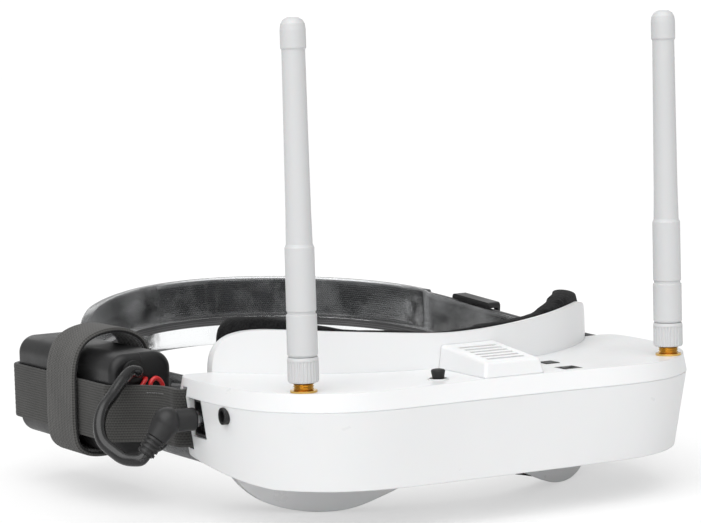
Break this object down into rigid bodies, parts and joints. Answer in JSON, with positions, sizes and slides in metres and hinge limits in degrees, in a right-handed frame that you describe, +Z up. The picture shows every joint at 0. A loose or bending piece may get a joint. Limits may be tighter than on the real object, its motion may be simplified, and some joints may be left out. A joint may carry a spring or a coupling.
{
  "type": "fpv goggles",
  "caption": "Slim visor of video goggles with a curved faceplate and foam pad, screw-on antennas, joystick, side sockets, battery on the head strap and sliding eyepieces.",
  "frame": {"origin": "on the visor's middle plane, in line with the two antennas, on the flat underside of the visor", "axes": "+Z up towards the deck, -Y the way the wearer looks, +X the wearer's left"},
  "size_m": [0.1984, 0.2415, 0.1549],
  "materials": {
    "white_shell": "slightly glossy moulded white",
    "foam": "fabric-faced foam",
    "black_plastic": "satin black",
    "steel": "bright",
    "lens": "clear, polished",
    "panel_glass": "dark glass",
    "circuit_board": "solder resist",
    "chip_black": "matt",
    "tinned_steel": "tinned",
    "gold": "gold plated",
    "antenna_white": "satin",
    "black_rubber": "matt",
    "battery_black": "satin black",
    "cell_foil": "foil",
    "elastic": "woven elastic",
    "clear_plastic": "clear film",
    "webbing": "ribbed webbing",
    "plug_black": "satin black",
    "cable_black": "smooth",
    "red_wire": "smooth"
  },
  "bodies": {
    "root": {"main_shell": "white_shell", "top_cover": "white_shell", "faceplate": "white_shell", "fan_cover": "white_shell", "face_foam": "foam", "fan_frame": "black_plastic", "optics_frame": "black_plastic", "eyepiece_rails": "steel", "main_board": "circuit_board", "board_chips": "chip_black", "receiver_board": "circuit_board", "receiver_can": "tinned_steel", "sma_socket_right": "gold", "sma_socket_left": "gold", "sma_nuts_and_washers": "gold", "joystick_switch": "chip_black", "joystick_bezel": "white_shell", "button_switch": "chip_black", "slide_switch_body": "black_plastic", "power_socket": "black_plastic", "av_socket": "black_plastic", "case_screws": "steel", "battery_case_outer": "battery_black", "battery_case_inner": "battery_black", "battery_cells": "cell_foil", "head_strap": "elastic", "strap_former": "clear_plastic", "battery_strap": "webbing", "power_cable": "cable_black", "cable_grommet": "black_rubber", "red_wire": "red_wire"},
    "fan_rotor_body": {"fan_rotor": "black_plastic"},
    "antenna_right": {"antenna_whip_right": "antenna_white"},
    "antenna_right_nut": {"antenna_nut_right": "antenna_white"},
    "antenna_left": {"antenna_whip_left": "antenna_white"},
    "antenna_left_nut": {"antenna_nut_left": "antenna_white"},
    "joystick_press_body": {"joystick_plunger": "steel"},
    "joystick_ring_body": {"joystick_tilt_ring": "steel"},
    "joystick_cap_body": {"joystick_cap": "black_rubber"},
    "menu_button_body": {"menu_button": "black_plastic"},
    "fan_switch_body": {"fan_switch_slider": "black_plastic"},
    "eyepiece_right": {"eyepiece_carrier_right": "black_plastic", "eyepiece_lens_right": "lens", "display_panel_right": "panel_glass"},
    "eyepiece_left": {"eyepiece_carrier_left": "black_plastic", "eyepiece_lens_left": "lens", "display_panel_left": "panel_glass"},
    "plug": {"power_plug": "plug_black"},
    "slider": {"strap_slider": "black_plastic"}
  },
  "joints": [
    {"name": "fan_spin", "type": "hinge", "parent": "root", "child": "fan_rotor_body", "pos_m": [0.0018, 0.003, 0.018], "axis": [0, 0, 1], "continuous": true},
    {"name": "antenna_right_lift", "type": "slide", "parent": "root", "child": "antenna_right", "axis": [0, 0, 1], "range_m": [0, 0.00141]},
    {"name": "antenna_right_turn", "type": "hinge", "parent": "antenna_right", "child": "antenna_right_nut", "pos_m": [-0.0655, 0, 0.036], "axis": [0, 0, 1], "range_deg": [0, 720]},
    {"name": "antenna_left_lift", "type": "slide", "parent": "root", "child": "antenna_left", "axis": [0, 0, 1], "range_m": [0, 0.00141]},
    {"name": "antenna_left_turn", "type": "hinge", "parent": "antenna_left", "child": "antenna_left_nut", "pos_m": [0.0655, 0, 0.036], "axis": [0, 0, 1], "range_deg": [0, 720]},
    {"name": "joystick_press", "type": "slide", "parent": "root", "child": "joystick_press_body", "axis": [0, 0, 1], "range_m": [-0.0003, 0]},
    {"name": "joystick_tilt_x", "type": "hinge", "parent": "joystick_press_body", "child": "joystick_ring_body", "pos_m": [-0.0208, -0.0019, 0.027], "axis": [1, 0, 0], "range_deg": [-8, 8]},
    {"name": "joystick_tilt_y", "type": "hinge", "parent": "joystick_ring_body", "child": "joystick_cap_body", "pos_m": [-0.0208, -0.0019, 0.027], "axis": [0, 1, 0], "range_deg": [-8, 8]},
    {"name": "menu_button_press", "type": "slide", "parent": "root", "child": "menu_button_body", "axis": [0, 0, 1], "range_m": [-0.00025, 0]},
    {"name": "fan_switch_slide", "type": "slide", "parent": "root", "child": "fan_switch_body", "axis": [1, 0, 0], "range_m": [0, 0.0025]},
    {"name": "eyepiece_right_slide", "type": "slide", "parent": "root", "child": "eyepiece_right", "axis": [1, 0, 0], "range_m": [-0.0036, 0.0035]},
    {"name": "eyepiece_left_slide", "type": "slide", "parent": "root", "child": "eyepiece_left", "axis": [1, 0, 0], "range_m": [-0.0035, 0.0036]},
    {"name": "plug_pull", "type": "slide", "parent": "root", "child": "plug", "axis": [-1, 0, 0], "range_m": [0, 0.0095], "deforming": ["power_cable"]},
    {"name": "slider_travel", "type": "slide", "parent": "root", "child": "slider", "axis": [0.0945, -0.9915, -0.0891], "range_m": [-0.006, 0.006]}
  ],
  "couplings": [
    {"joint": "antenna_right_turn", "follows": "antenna_right_lift", "rad_per_m": 8904},
    {"joint": "antenna_left_turn", "follows": "antenna_left_lift", "rad_per_m": 8904}
  ]
}
